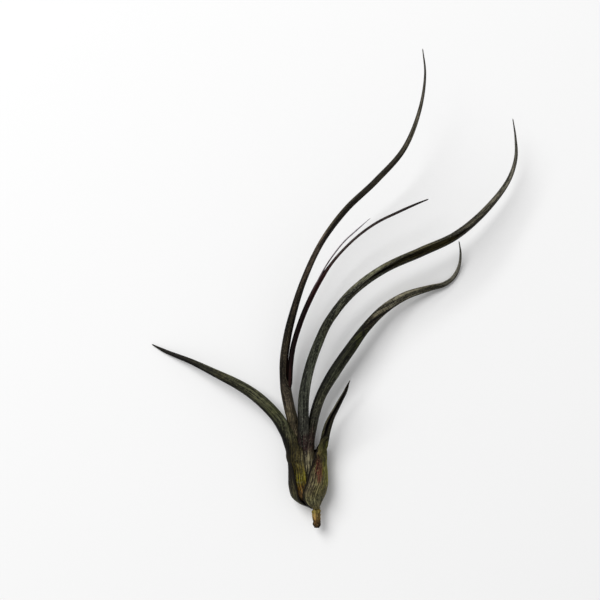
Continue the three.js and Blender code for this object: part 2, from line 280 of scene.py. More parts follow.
class Shader:
    """One material's nodes, added and joined one at a time."""

    # Numbers of a mix node's colour sockets, which share their names with others
    UNDER, OVER, MIXED = 6, 7, 2

    def __init__(self, name: str) -> None:
        """Starts an empty material.

        Args:
            name: The material's name.
        """
        self.material = bpy.data.materials.new(name)
        self.material.use_nodes = True
        self.tree = self.material.node_tree
        self.tree.nodes.clear()

    def join(self, source: Feed, target: Socket) -> None:
        """Feeds a socket.

        Args:
            source: Another socket, or a plain value.
            target: The socket to feed.
        """
        if isinstance(source, Socket):
            self.tree.links.new(source, target)
        else:
            target.default_value = source

    def carried(self, name: str, output: str = "Fac") -> Socket:
        """Reads what the mesh carries at its points.

        Args:
            name: The attribute's name.
            output: Fac for a number, and Vector for three.

        Returns:
            The value there.
        """
        node = self.tree.nodes.new("ShaderNodeAttribute")
        node.attribute_name = name
        return node.outputs[output]

    def body(self) -> Socket:
        """Reads where each point is, in metres."""
        return self.tree.nodes.new("ShaderNodeTexCoord").outputs["Object"]

    def stretched(self, vector: Feed, scale: Point, shift: Point = (0, 0, 0)) -> Socket:
        """Stretches and then shifts a vector.

        Args:
            vector: The vector.
            scale: How much it is stretched along each axis.
            shift: How far it is then moved.

        Returns:
            The new vector.
        """
        node = self.tree.nodes.new("ShaderNodeMapping")
        self.join(vector, node.inputs["Vector"])
        node.inputs["Scale"].default_value = scale
        node.inputs["Location"].default_value = shift
        return node.outputs["Vector"]

    def noise(self, vector: Feed, scale: float = 1.0, layers: float = 2.0, rough: float = 0.5) -> Socket:
        """Makes cloudy noise from 0 to 1.

        Args:
            vector: Where in the clouds each point lies.
            scale: How fine the clouds are.
            layers: How many finer layers lie over the first.
            rough: How strong the finer layers are.

        Returns:
            The noise.
        """
        node = self.tree.nodes.new("ShaderNodeTexNoise")
        self.join(vector, node.inputs["Vector"])
        node.inputs["Scale"].default_value = scale
        node.inputs["Detail"].default_value = layers
        node.inputs["Roughness"].default_value = rough
        return node.outputs["Fac"]

    def spread(self, value: Feed, span: Span, to: Span = (0, 1)) -> Socket:
        """Maps one span of values onto another, smoothly.

        Args:
            value: The value to map.
            span: The values that become the ends of the other span.
            to: The ends of the other span.

        Returns:
            The mapped value, which stays within the ends.
        """
        node = self.tree.nodes.new("ShaderNodeMapRange")
        node.interpolation_type = "SMOOTHSTEP"
        self.join(value, node.inputs["Value"])
        for name, number in zip(("From Min", "From Max", "To Min", "To Max"), (*span, *to)):
            node.inputs[name].default_value = number
        return node.outputs["Result"]

    def _math(self, what: Sum, a: Feed, b: Feed) -> Socket:
        """Does one sum.

        Args:
            what: Which sum.
            a: The first number.
            b: The second number.

        Returns:
            The result.
        """
        node = self.tree.nodes.new("ShaderNodeMath")
        node.operation = what.value
        self.join(a, node.inputs[0])
        self.join(b, node.inputs[1])
        return node.outputs["Value"]

    def plus(self, a: Feed, b: Feed) -> Socket:
        """Adds two numbers."""
        return self._math(Sum.PLUS, a, b)

    def times(self, a: Feed, b: Feed) -> Socket:
        """Multiplies two numbers."""
        return self._math(Sum.TIMES, a, b)

    def length_of(self, vector: Feed) -> Socket:
        """Measures a vector.

        Args:
            vector: The vector.

        Returns:
            Its length.
        """
        node = self.tree.nodes.new("ShaderNodeVectorMath")
        node.operation = "LENGTH"
        self.join(vector, node.inputs[0])
        return node.outputs["Value"]

    def ramp(self, value: Feed, stops: Stops) -> Socket:
        """Looks a value up in a row of colours.

        Args:
            value: The value, from 0 to 1.
            stops: The colours and their places.

        Returns:
            The colour there.
        """
        node = self.tree.nodes.new("ShaderNodeValToRGB")
        node.color_ramp.interpolation = "EASE"
        elements = node.color_ramp.elements
        while len(elements) < len(stops):
            elements.new(0.5)
        for element, (position, _) in zip(elements, stops):
            element.position = position
        for element, (_, colour) in zip(elements, stops):
            element.color = linear(colour)
        self.join(value, node.inputs["Fac"])
        return node.outputs["Color"]

    def blend(self, share: Feed, under: Feed, over: Feed, how: Mix = Mix.OVER) -> Socket:
        """Lays one colour over another.

        Args:
            share: How much of the upper colour counts, from 0 to 1.
            under: The lower colour.
            over: The upper colour.
            how: What the upper colour does.

        Returns:
            The blended colour.
        """
        node = self.tree.nodes.new("ShaderNodeMix")
        node.data_type = "RGBA"
        node.blend_type = how.value
        self.join(share, node.inputs["Factor"])
        self.join(under, node.inputs[self.UNDER])
        self.join(over, node.inputs[self.OVER])
        return node.outputs[self.MIXED]

    def finish(
        self, colour: Feed, roughness: Feed, height: Feed, depth_mm: float, **plain: float
    ) -> bpy.types.Material:
        """Ends the material in one surface shader.

        Args:
            colour: The base colour.
            roughness: The roughness.
            height: The height of the fine relief, from 0 to 1.
            depth_mm: How deep that relief is.
            plain: Other inputs of the surface shader that are the same all over.

        Returns:
            The finished material.
        """
        bump = self.tree.nodes.new("ShaderNodeBump")
        bump.inputs["Strength"].default_value = 1.0
        bump.inputs["Distance"].default_value = depth_mm * MM
        self.join(height, bump.inputs["Height"])
        surface = self.tree.nodes.new("ShaderNodeBsdfPrincipled")
        self.join(colour, surface.inputs["Base Color"])
        self.join(roughness, surface.inputs["Roughness"])
        self.join(bump.outputs["Normal"], surface.inputs["Normal"])
        for name, number in plain.items():
            surface.inputs[name.replace("_", " ")].default_value = number
        output = self.tree.nodes.new("ShaderNodeOutputMaterial")
        self.join(surface.outputs["BSDF"], output.inputs["Surface"])
        return self.material


@dataclass(frozen=True)
class SkinDetail:
    """Patterns that the skins of all leaves share.

    A grain is how fine a pattern is to the rib across, to the millimetre along, and from the
    outside to the channel. Where two grains are given, the first is for narrow ribs and the second
    for broad ones. The middle of a noise is the span of it that counts.

    Args:
        clouds: How fine the clouds are, to the metre.
        mottle: How fine the mottling is, to the metre.
        veins: The grains of the veins.
        flecks: The grains of the flecks.
        smudges: The grain of the smudges.
        ripples: The grain of the wrinkles.
        scales: The grain of the film of scales.
        cloud_middle: The middle of the clouds and smudges.
        wander: How far the clouds move the skin's colours, as a share of the leaf.
        ragged: How far the clouds and the smudges move a patch's edge, as shares of its reach.
        patch_edge: Where a patch ends and where it is full, as shares of its reach.
        main_part: How much the first of two patterns counts where they are mixed.
        streak_middle: The middle of the streaks.
        mottle_middle: The middle of the mottling.
        mottle_light: How light the mottling makes the skin.
        furrow_light: How light the skin is on a vein and in a furrow: partly the veins' own colour, partly
            painted shade in the furrows.
        wrinkle_end: How far a wrinkled stretch takes to begin and end, as a share of the leaf.
        wrinkle_middle: The middle of the ripples.
        wrinkle_light: How light the skin is in a wrinkle's crease, which is painted shade.
        scale_middle: The middle of the scales, where they show.
        scale_relief: The middle of the scales, where they roughen the skin.
        rougher: How the scales change the roughness.
        channel_scurf: How much of the scales the channel has.
        scurf_in_painted_shade: How the scales fade where the painted shade is dark: the levels of shade,
            and the share left there.
        rim: Where the painted shadow line along an edge begins and where it is full.
        edge: The colour of that painted shadow line.
        depth_mm: The depth of the fine relief.
        gloss: How strongly the skin reflects.
    """

    clouds: float = 160
    mottle: float = 420
    veins: tuple[Point, Point] = ((0.95, 0.07, 9.0), (2.3, 0.09, 9.0))
    flecks: tuple[Point, Point] = ((1.3, 0.45, 5.0), (2.8, 0.5, 5.0))
    smudges: Point = (0.9, 0.16, 1)
    ripples: Point = (0.16, 1.5, 1.0)
    scales: Point = (1.6, 1.0, 3.0)
    cloud_middle: Span = (0.3, 0.7)
    wander: float = 0.015
    ragged: Span = (0.2, 0.3)
    patch_edge: Span = (1.25, 0.3)
    main_part: float = 0.6
    streak_middle: Span = (0.42, 0.58)
    mottle_middle: Span = (0.32, 0.68)
    mottle_light: Span = (0.72, 1.28)
    furrow_light: Span = (1.25, 0.5)
    wrinkle_end: float = 0.02
    wrinkle_middle: Span = (0.52, 0.36)
    wrinkle_light: float = 0.45
    scale_middle: Span = (0.52, 0.66)
    scale_relief: Span = (0.35, 0.7)
    rougher: Span = (-0.08, 0.14)
    channel_scurf: float = 0.2
    scurf_in_painted_shade: tuple[Span, float] = ((0.2, 1.0), 0.03)
    rim: Span = (0.15, 0.6)
    edge: Colour = (14, 9, 6)
    depth_mm: float = 0.15
    gloss: float = 0.1


class LeafSkin:
    """The skin of a leaf: veined, stained and dusted with tiny scales, with light and shade painted into
    its colour.

    It reads what the mesh carries: lie, which is ribs across, millimetres along and the side,
    share, which is the way from base to point, inside, which is 1 in the channel, rim, which rises
    to 1 at both edges where a painted shadow line lies, shade, the painted light and shade on the
    flanks and top, partly the leaf's own tone, furrow, which is 1 between veins, and broad, which is
    1 where the ribs are broad.
    """

    def __init__(self, name: str, finish: LeafFinish, detail: SkinDetail = SkinDetail()) -> None:
        """Starts the material.

        Args:
            name: The material's name.
            finish: The leaf's colours.
            detail: The patterns of the skin.
        """
        self.shader, self.finish, self.detail = Shader(name), finish, detail
        self.lie = self.shader.carried("lie", "Vector")
        self.share, self.inside, self.broad = map(self.shader.carried, ("share", "inside", "broad"))
        self.body = self.shader.body()
        self.scales = self._along(detail.scales, layers=3.0, rough=0.7)
        veins = self._by_rib(detail.veins, layers=1.0, rough=0.5)
        self.streaks = self._mixed(veins, self._by_rib(detail.flecks, layers=2.0, rough=0.6))

    def _along(self, grain: Point, layers: float, rough: float) -> Socket:
        """Makes noise that is drawn out along the leaf."""
        return self.shader.noise(self.shader.stretched(self.lie, grain), layers=layers, rough=rough)

    def _by_rib(self, grains: tuple[Point, Point], layers: float, rough: float) -> Socket:
        """Makes noise along the leaf that suits the breadth of the ribs."""
        narrow, broad = (self._along(grain, layers, rough) for grain in grains)
        return self.shader.blend(self.broad, narrow, broad)

    def _mixed(self, first: Socket, second: Socket) -> Socket:
        """Adds two patterns, the first of which counts for more."""
        part = self.detail.main_part
        return self.shader.plus(self.shader.times(first, part), self.shader.times(second, 1 - part))

    def _stains_and_painted_shade(self) -> Socket:
        """Colours the outside, lays the stains and the patches of painted shade over it, and colours the
        channel.

        Returns:
            The colour before any grain.
        """
        shader, detail = self.shader, self.detail
        clouds = shader.noise(self.body, detail.clouds, layers=3.0, rough=0.6)
        smudges = self._along(detail.smudges, layers=2.0, rough=0.5)
        wander = shader.spread(clouds, detail.cloud_middle, (-detail.wander, detail.wander))
        colour = shader.ramp(shader.plus(self.share, wander), self.finish.skin)
        by_clouds, by_smudges = (
            shader.spread(pattern, detail.cloud_middle, (-reach, reach))
            for pattern, reach in zip((clouds, smudges), detail.ragged)
        )
        ragged = shader.plus(by_clouds, by_smudges)
        # Stains, and patches of painted shade
        for patch in self.finish.patches:
            middle = place(np.array(patch.middle))
            scale = tuple(1 / (r * MM) for r in patch.reach)
            shift = tuple(float(-m * s) for m, s in zip(middle, scale))
            away = shader.plus(shader.length_of(shader.stretched(self.body, scale, shift)), ragged)
            cover = shader.spread(away, detail.patch_edge, (0, patch.strength))
            colour = shader.blend(cover, colour, linear(patch.colour))
        return shader.blend(self.inside, colour, shader.ramp(self.share, self.finish.channel))

    def _grain(self) -> Socket:
        """Works out how light each place is beside its own colour: streaks, mottling, and painted shade in
        the furrows and in the creases of wrinkles.

        Returns:
            A factor for the colour.
        """
        shader, detail, streaks = self.shader, self.detail, self.finish.streaks
        grain = shader.spread(self.streaks, detail.streak_middle, (1 - streaks, 1 + streaks))
        mottle = shader.noise(self.body, detail.mottle, layers=3.0, rough=0.65)
        grain = shader.times(grain, shader.spread(mottle, detail.mottle_middle, detail.mottle_light))
        # Lighter on the veins and darker in the furrows: partly the veins' own colour, partly painted shade
        grain = shader.times(grain, shader.spread(shader.carried("furrow"), (0, 1), detail.furrow_light))
        # Painted shade in the creases of fine wrinkles
        for start, end in self.finish.wrinkles:
            begun = shader.spread(self.share, (start, start + detail.wrinkle_end))
            ended = shader.spread(self.share, (end, end - detail.wrinkle_end))
            ripples = self._along(detail.ripples, layers=1.0, rough=0.5)
            crease = shader.times(shader.times(begun, ended), shader.spread(ripples, detail.wrinkle_middle))
            grain = shader.times(grain, shader.spread(crease, (0, 1), (1, detail.wrinkle_light)))
        return grain

    def material(self) -> bpy.types.Material:
        """Lays grain, painted light and shade, scales and a painted shadow line along the edges over the
        colours.

        Returns:
            The finished material.
        """
        shader, finish, detail = self.shader, self.finish, self.detail
        # Painted light and shade on the flanks and top, partly the leaf's own tone, scales the colour
        shade = shader.carried("shade")
        colour = shader.blend(1.0, self._stains_and_painted_shade(), shader.times(self._grain(), shade), Mix.TIMES)
        dust = shader.spread(self.scales, detail.scale_middle, (0, finish.scurf_amount))
        dust = shader.times(dust, shader.spread(self.inside, (0, 1), (1, detail.channel_scurf)))
        # The scales fade where the painted shade is dark
        shades, left = detail.scurf_in_painted_shade
        dust = shader.times(dust, shader.spread(shade, shades, (left, 1)))
        colour = shader.blend(dust, colour, linear(finish.scurf))
        # A painted shadow line along both edges
        edge = shader.spread(shader.carried("rim"), detail.rim, (0, finish.margin))
        colour = shader.blend(edge, colour, linear(detail.edge))
        least, most = (finish.roughness + change for change in detail.rougher)
        rough = shader.spread(self.scales, detail.scale_relief, (least, most))
        relief = self._mixed(self.streaks, self.scales)
        return shader.finish(colour, rough, relief, detail.depth_mm, Specular_IOR_Level=detail.gloss)


@dataclass
class Sweep:
    """A closed skin drawn through a row of equal rings."""

    rings: np.ndarray

    def mesh(self, name: str, pointed: bool) -> bpy.types.Mesh:
        """Extrudes the first ring from section to section and closes both ends.

        Args:
            name: The mesh's name.
            pointed: Whether the far end is drawn together to a point.

        Returns:
            The mesh, which carries each point's place round its ring as the attribute slot.
        """
        count = self.rings.shape[1]
        skin = bmesh.new()
        slot = skin.verts.layers.int.new("slot")
        verts = bmesh.ops.create_circle(skin, segments=count, radius=1.0)["verts"]
        edges = list(skin.edges)
        for number, vert in enumerate(verts):
            vert[slot] = number
            vert.co = self.rings[0][number]
        bmesh.ops.contextual_create(skin, geom=edges)
        for ring in self.rings[1:].tolist():
            grown = bmesh.ops.extrude_edge_only(skin, edges=edges)["geom"]
            verts = [part for part in grown if isinstance(part, bmesh.types.BMVert)]
            edges = [part for part in grown if isinstance(part, bmesh.types.BMEdge)]
            for vert in verts:
                vert.co = ring[vert[slot]]
        if pointed:
            bmesh.ops.pointmerge(skin, verts=verts, merge_co=self.rings[-1].mean(axis=0))
        else:
            bmesh.ops.contextual_create(skin, geom=edges)
        bmesh.ops.recalc_face_normals(skin, faces=skin.faces)
        mesh = bpy.data.meshes.new(name)
        skin.to_mesh(mesh)
        skin.free()
        mesh.shade_smooth()
        return mesh

    def carry(self, mesh: bpy.types.Mesh, name: str, values: np.ndarray) -> None:
        """Stores values of every ring's points on the mesh.

        Args:
            mesh: A mesh that this sweep made.
            name: The attribute's name.
            values: One value, or one row of three, for each point of each ring.
        """
        rings, count = self.rings.shape[:2]
        slots = np.zeros(len(mesh.vertices), dtype=np.int32)
        mesh.attributes["slot"].data.foreach_get("value", slots)
        which = np.minimum(np.arange(len(slots)) // count, rings - 1)
        found = values[which, slots].astype(np.float32)
        kind, socket = ("FLOAT_VECTOR", "vector") if found.ndim == 2 else ("FLOAT", "value")
        mesh.attributes.new(name, kind, "POINT").data.foreach_set(socket, found.ravel())


@dataclass(kw_only=True)
class Organ:
    """A part of the plant that is swept along a route.

    Args:
        node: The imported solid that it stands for.
        route: Its middle line.
        girth: Rows of (distance along, half width, half depth).
        finish: Its colours.
        step: The distance from one section to the next.
        point: The half width of its end, as a share of the solid's.
        point_length: The length over which it thins to that.
    """

    node: str
    route: Sequence[Point]
    girth: Keys
    finish: LeafFinish
    step: float = 0.7
    point: float = 0.75
    point_length: float = 6.0

    def thinned(self, route: Route, at: np.ndarray) -> np.ndarray:
        """Reads the girth at each distance, and thins it towards the end."""
        thinning = smooth(route.length - self.point_length, route.length, at)[:, None]
        return between(self.girth, at) * (1 - (1 - self.point) * thinning)

    @staticmethod
    def oval(girth: np.ndarray, angle: np.ndarray, inset: np.ndarray) -> np.ndarray:
        """Draws part of an oval, moved in by inset, as pairs of right and up."""
        right, up = np.cos(angle) * (girth[:, :1] - inset), np.sin(angle) * (girth[:, 1:] - inset)
        return np.stack([right, up], axis=2)

    @staticmethod
    def stand(flat: np.ndarray, middle: np.ndarray, along: np.ndarray) -> np.ndarray:
        """Stands flat outlines across the route.

        Args:
            flat: The outlines, as pairs of right and up.
            middle: The middle of each.
            along: The unit vector that each stands square to.

        Returns:
            The rings of points in the row frame.
        """
        right = np.cross(along, UP)
        right /= np.linalg.norm(right, axis=1, keepdims=True)
        top = np.cross(right, along)
        return place(middle[:, None] + flat[..., :1] * right[:, None] + flat[..., 1:] * top[:, None])

    def show(self, rings: np.ndarray, carried: dict[str, np.ndarray], pointed: bool) -> bpy.types.Object:
        """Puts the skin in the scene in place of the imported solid.

        Args:
            rings: The rings of points, in the row frame.
            carried: What the points carry for the material.
            pointed: Whether the far end is drawn together to a point.

        Returns:
            The new object.
        """
        sweep = Sweep(rings)
        mesh = sweep.mesh(self.node, pointed)
        for name, values in carried.items():
            sweep.carry(mesh, name, values)
        mesh.materials.append(LeafSkin(self.node, self.finish).material())
        piece = put(f"{self.node}_skin", mesh)
        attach(piece, "root")
        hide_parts(self.node)
        return piece


# How many steps a rib has on the outside and in the channel
OUTSIDE_STEPS, CHANNEL_STEPS = 4, 2
# The wall has this share of its thickness at an edge, and all of it from a fifth of the way across
EDGE_SHARE, EDGE_RISE = 0.5, 5
# Directions of the three points that round an edge, in degrees
LIP_BENDS = (50.0, 0.0, -50.0)
# The most that the painted shadow line along an edge takes of the leaf's half width
LINE_SHARE = 0.2
# The breadths, in millimetres, between which a rib passes from narrow to broad
BROAD_RIB = (0.75, 0.95)
# Where the top of the back passes into a flank in the painted light and shade, as shares of the half width
TOP_END = (0.15, 0.75)
# How sharply one flank's painted light and shade passes into the other's where the top doesn't lie between
# them
FLANK_CHANGE = 3
# The most that a furrow takes of the half width, and the share of the way across where furrows fade
FURROW_SHARE, FURROW_FADE = 0.05, 0.04
# How much the depths of furrows differ, and steps of sine so large that they differ as if by chance
FURROW_VARIETY, FURROW_CHANCE = 0.35, (12.9898, 4.1414)
# How much a furrow deepens and fades along the leaf, how fast, and how far out of step with the next
FURROW_SWELL, FURROW_WAVE, FURROW_SHIFT = 0.3, 0.21, 2.4


@dataclass(kw_only=True)
class Leaf(Organ):
    """One leaf: a wall that clasps the younger leaves below and rolls into a gutter above.

    Args:
        wall: Rows of (distance along, thickness).
        edges: Rows of (distance along, angle of one edge, angle of the other).
        sheath: Where the sheath begins to turn into the blade.
        shade: Rows of (distance along, lightness of the right flank, of the top, of the left flank),
            painted light and shade that also carry some of the leaf's own tone.
        ribs: How many veins run along it.
        rib_depth: The depth of the furrows between veins.
        edge_line: How wide the painted shadow line along each edge is.
        thickest: The most that the wall takes of the half width.
        turned: Where the sections stand square to the route, in lengths of the sheath.
    """

    wall: Keys
    edges: Keys
    sheath: float
    shade: Keys
    ribs: int
    rib_depth: float = 0.1
    edge_line: float = 0.5
    thickest: float = 0.9
    turned: float = 1.8

    def sections(self) -> tuple[np.ndarray, dict[str, np.ndarray]]:
        """Works out every section of the leaf.

        Returns:
            The rings of points in the row frame, and what they carry for the material.
        """
        route = Route(self.route)
        at = route.stations(self.step)
        middle, run = route.at(at)
        turn = smooth(self.sheath, self.sheath * self.turned + 1, at)[:, None]
        along = BULB_AXIS * (1 - turn) + run * turn
        along /= np.linalg.norm(along, axis=1, keepdims=True)
        girth = self.thinned(route, at)
        thick = np.minimum(between(self.wall, at)[:, 0], self.thickest * girth[:, 0])
        flat, carried = self._outlines(at, girth, thick, np.radians(between(self.edges, at)))
        # Painted light and shade on the flanks and top, partly the leaf's own tone; the channel gets none
        shades = self._shades(flat / girth[:, None], between(self.shade, at))
        carried["shade"] = 1 + (shades - 1) * (1 - carried["inside"])
        carried["share"] = carried["lie"][..., 1] / route.length
        return self.stand(flat, middle, along), carried

    def _outlines(
        self, at: np.ndarray, girth: np.ndarray, thick: np.ndarray, edges: np.ndarray
    ) -> tuple[np.ndarray, dict[str, np.ndarray]]:
        """Draws the outline of every section as pairs of right and up.

        Args:
            at: Distances along the leaf.
            girth: Half width and half depth at each.
            thick: The wall's thickness at each.
            edges: The angles of the two edges at each, in radians.

        Returns:
            The outlines, and what their points carry for the material.
        """
        start, end = edges[:, :1], edges[:, 1:]
        out = np.linspace(0, 1, self.ribs * OUTSIDE_STEPS + 1)[None]
        inn = np.linspace(0, 1, self.ribs * CHANNEL_STEPS + 1)[None]
        thin_edge = EDGE_SHARE + (1 - EDGE_SHARE) * np.minimum(1, np.minimum(inn, 1 - inn) * EDGE_RISE)
        outer = self.oval(girth, end + (start - end) * out, self._furrows(at, girth, out))
        inner = self.oval(girth, start + (end - start) * inn, thick[:, None] * thin_edge)
        lip_a = self._lip(girth, start, thick, -1)
        lip_b = self._lip(girth, end, thick, 1)[:, ::-1]
        lip = lip_a.shape[1]
        across = self.ribs * np.concatenate([out[0], np.ones(lip), 1 - inn[0], np.zeros(lip)])
        side = np.concatenate([
            np.full(out.size, Side.OUTSIDE.value), np.linspace(0, 1, lip),
            np.full(inn.size, Side.CHANNEL.value), np.linspace(1, 0, lip),
        ])
        half_width = girth.mean(axis=1)[:, None]
        rib_width = np.abs(start - end) * half_width / self.ribs
        edge_line = np.minimum(self.edge_line, LINE_SHARE * half_width)
        rim = np.clip(1 - np.minimum(across, self.ribs - across)[None] * rib_width / edge_line, 0, 1)
        furrow = (0.5 + 0.5 * np.cos(2 * np.pi * across)) * (1 - side)
        lie = np.stack(np.broadcast_arrays(across[None], at[:, None], side[None]), axis=2)
        return np.concatenate([outer, lip_a, inner, lip_b], axis=1), {
            "lie": lie,
            "inside": lie[..., 2],
            "rim": rim,
            "broad": np.broadcast_to(smooth(*BROAD_RIB, rib_width), rim.shape),
            "furrow": np.broadcast_to(furrow, rim.shape),
        }

    @staticmethod
    def _shades(spots: np.ndarray, shade: np.ndarray) -> np.ndarray:
        """Paints light and shade round every section, which also carries some of the leaf's own tone.

        Args:
            spots: Points of the sections as shares of the half width and half depth.
            shade: Lightness of the right flank, the top and the left flank of each section.

        Returns:
            The lightness at every point. The underside is as dark as the flanks.
        """
        high = (1 - smooth(*TOP_END, np.abs(spots[..., 0]))) * (spots[..., 1] > 0)
        leftness = 0.5 - 0.5 * np.clip(spots[..., 0] * FLANK_CHANGE, -1, 1)
        flank = shade[:, None, 0] * (1 - leftness) + shade[:, None, 2] * leftness
        return flank * (1 - high) + shade[:, None, 1] * high

    def _lip(self, girth: np.ndarray, angle: np.ndarray, thick: np.ndarray, way: int) -> np.ndarray:
        """Rounds an edge of the wall, from the outside to the channel.

        Args:
            girth: Half width and half depth of each section.
            angle: The edge's angle in each.
            thick: The wall's thickness in each.
            way: 1 where the wall ends towards greater angles, and -1 at its other edge.

        Returns:
            Three points for each section.
        """
        half = thick[:, None] * EDGE_SHARE / 2
        bend = np.radians(LIP_BENDS)[None]
        onward = half * np.cos(bend) * way
        points = self.oval(girth, angle, half * (1 - np.sin(bend)))
        return points + np.stack([-np.sin(angle) * onward, np.cos(angle) * onward], axis=2)

    def _furrows(self, at: np.ndarray, girth: np.ndarray, across: np.ndarray) -> np.ndarray:
        """Makes the furrows between the veins, each a little unlike the next.

        Args:
            at: Distances along the leaf.
            girth: Half width and half depth at each.
            across: Shares of the way across the outside.

        Returns:
            How far each point is moved in.
        """
        which = np.floor(across * self.ribs + 0.5)
        chance = np.sin(which * FURROW_CHANCE[0]) * np.sin(which * FURROW_CHANCE[1] + 1)
        each = 1 - FURROW_VARIETY + FURROW_VARIETY * chance
        swell = 1 + FURROW_SWELL * np.sin(at[:, None] * FURROW_WAVE + which * FURROW_SHIFT)
        depth = np.minimum(self.rib_depth, girth[:, :1] * FURROW_SHARE)
        fade = smooth(0, FURROW_FADE, across) * smooth(0, FURROW_FADE, 1 - across)
        return depth * (0.5 + 0.5 * np.cos(2 * np.pi * across * self.ribs)) * each * swell * fade

    def build(self) -> bpy.types.Object:
        """Makes the leaf and puts it in the scene."""
        rings, carried = self.sections()
        return self.show(rings, carried, pointed=True)


# How many steps the pattern of a rib takes up on a round piece
STALK_STEPS = 3
# How fine the knobs are, round the piece and along it
KNOB_ROUND, KNOB_ALONG = 1.7, 0.8
# How far apart the rings are, in millimetres, and how deep, as a share of the knobs
RING_GAP, RING_DEPTH = 1.9, 0.21
# How deep the skin lies under the tops of the knobs on average, as a share of the knobs
KNOB_DEPTH = 0.3


@dataclass(kw_only=True)
class Stalk(Organ):
    """A round piece: the thread leaf, or the stem with its knobbly foot.

    Args:
        around: How many points go round it.
        knobs: How far the scars of old roots and leaves stand out.
        pointed: Whether it ends in a point.
    """

    around: int = 12
    knobs: float = 0.0
    pointed: bool = True

    def build(self) -> bpy.types.Object:
        """Makes the piece and puts it in the scene.

        Returns:
            The new object.
        """
        route = Route(self.route)
        at = route.stations(self.step)
        middle, run = route.at(at)
        share = np.linspace(0, 1, self.around, endpoint=False)[None]
        flat = self.oval(self.thinned(route, at), -2 * np.pi * share, self._scars(at, share))
        lie = np.stack(np.broadcast_arrays(share * self.around / STALK_STEPS, at[:, None], 0.0), axis=2)
        carried = {"lie": lie, "share": lie[..., 1] / route.length, "shade": lie[..., 2] + 1}
        carried |= dict.fromkeys(("inside", "rim", "broad", "furrow"), lie[..., 2])
        return self.show(self.stand(flat, middle, run), carried, self.pointed)

    def _scars(self, at: np.ndarray, share: np.ndarray) -> np.ndarray:
        """Makes the scars of old roots and leaves.

        Args:
            at: Distances along the piece.
            share: Shares of the way round it.

        Returns:
            How far each point is moved in between the scars.
        """
        if not self.knobs:
            return np.zeros((len(at), share.size))
        turn = 2 * np.pi * share[0]
        rounds = [(math.cos(a) * KNOB_ROUND, math.sin(a) * KNOB_ROUND) for a in turn]
        rough = [[noise.noise(Vector((*spot, d * KNOB_ALONG))) for spot in rounds] for d in at]
        rings = RING_DEPTH * np.sin(at * 2 * np.pi / RING_GAP)[:, None]
        return self.knobs * (np.array(rough) + rings + KNOB_DEPTH)


@dataclass
class Plant:
    """The whole plant: its stem and its seven leaves, youngest first."""

    parts: list[Leaf | Stalk]

    def build(self) -> None:
        """Makes every piece and reports it."""
        for part in self.parts:
            piece = part.build()
            LOG.info("%s: %d faces", piece.name, len(piece.data.polygons))


@dataclass
class Studio:
    """The pale table, the soft light and the camera that looks down on the plant.

    Args:
        eye: Where the camera is, in metres.
        reach: Half the width of what it sees from a metre away.
        sensor: The width of the camera's sensor, in millimetres.
        sight: The nearest and farthest that it sees, in metres.
        table: The table's colour.
        table_half: Half the width of the table.
        table_drop: How far the table is under the plant, so that their faces don't meet.
        window: Where the soft light hangs.
        window_aim: What it faces.
        window_side: The length of its side.
        window_power: Its power in watts.
        sky: How bright the white surroundings are.
    """

    eye: Point = (-0.00314, 0.07677, 0.60565)
    reach: float = 0.22
    sensor: float = 36.0
    sight: Span = (0.01, 20.0)
    table: Colour = (243, 243, 243)
    table_half: float = 3.0
    table_drop: float = 0.0001
    window: Point = (-1.36, 1.55, 2.22)
    window_aim: Point = (0.0, 0.07, 0.0)
    window_side: float = 1.9
    window_power: float = 88.0
    sky: float = 0.4

    def floor(self) -> None:
        """Lays a large plain table top just under the plant."""
        slab = bmesh.new()
        bmesh.ops.create_grid(slab, x_segments=1, y_segments=1, size=self.table_half)
        bmesh.ops.translate(slab, verts=slab.verts, vec=(0, 0, -self.table_drop))
        mesh = bpy.data.meshes.new("table_top")
        slab.to_mesh(mesh)
        slab.free()
        paint = Shader("table_paint")
        grain = paint.noise(paint.body(), scale=900)
        mesh.materials.append(paint.finish(
            linear(self.table), roughness=0.85, height=grain, depth_mm=0.01, Specular_IOR_Level=0.2
        ))
        put("table_top", mesh)

    def light(self) -> None:
        """Hangs a square soft light and turns up the white surroundings."""
        data = bpy.data.lights.new("window", "AREA")
        data.size, data.energy = self.window_side, self.window_power
        lamp = put("window", data)
        lamp.location = self.window
        towards = Vector(self.window_aim) - Vector(self.window)
        lamp.rotation_euler = towards.to_track_quat("-Z", "Y").to_euler()
        world = bpy.data.worlds.new("room")
        world.use_nodes = True
        background = world.node_tree.nodes["Background"]
        background.inputs["Color"].default_value = (1, 1, 1, 1)
        background.inputs["Strength"].default_value = self.sky
        bpy.context.scene.world = world
        bpy.context.scene.view_settings.view_transform = "Standard"

    def camera(self) -> None:
        """Looks straight down, as far off as the photograph's perspective shows."""
        data = bpy.data.cameras.new("camera")
        data.sensor_width = self.sensor
        data.lens = self.sensor / 2 / self.reach
        data.clip_start, data.clip_end = self.sight
        camera = put("camera", data)
        camera.location = self.eye
        bpy.context.scene.camera = camera

    def build(self) -> None:
        """Sets up the table, the light and the camera."""
        self.floor()
        self.light()
        self.camera()


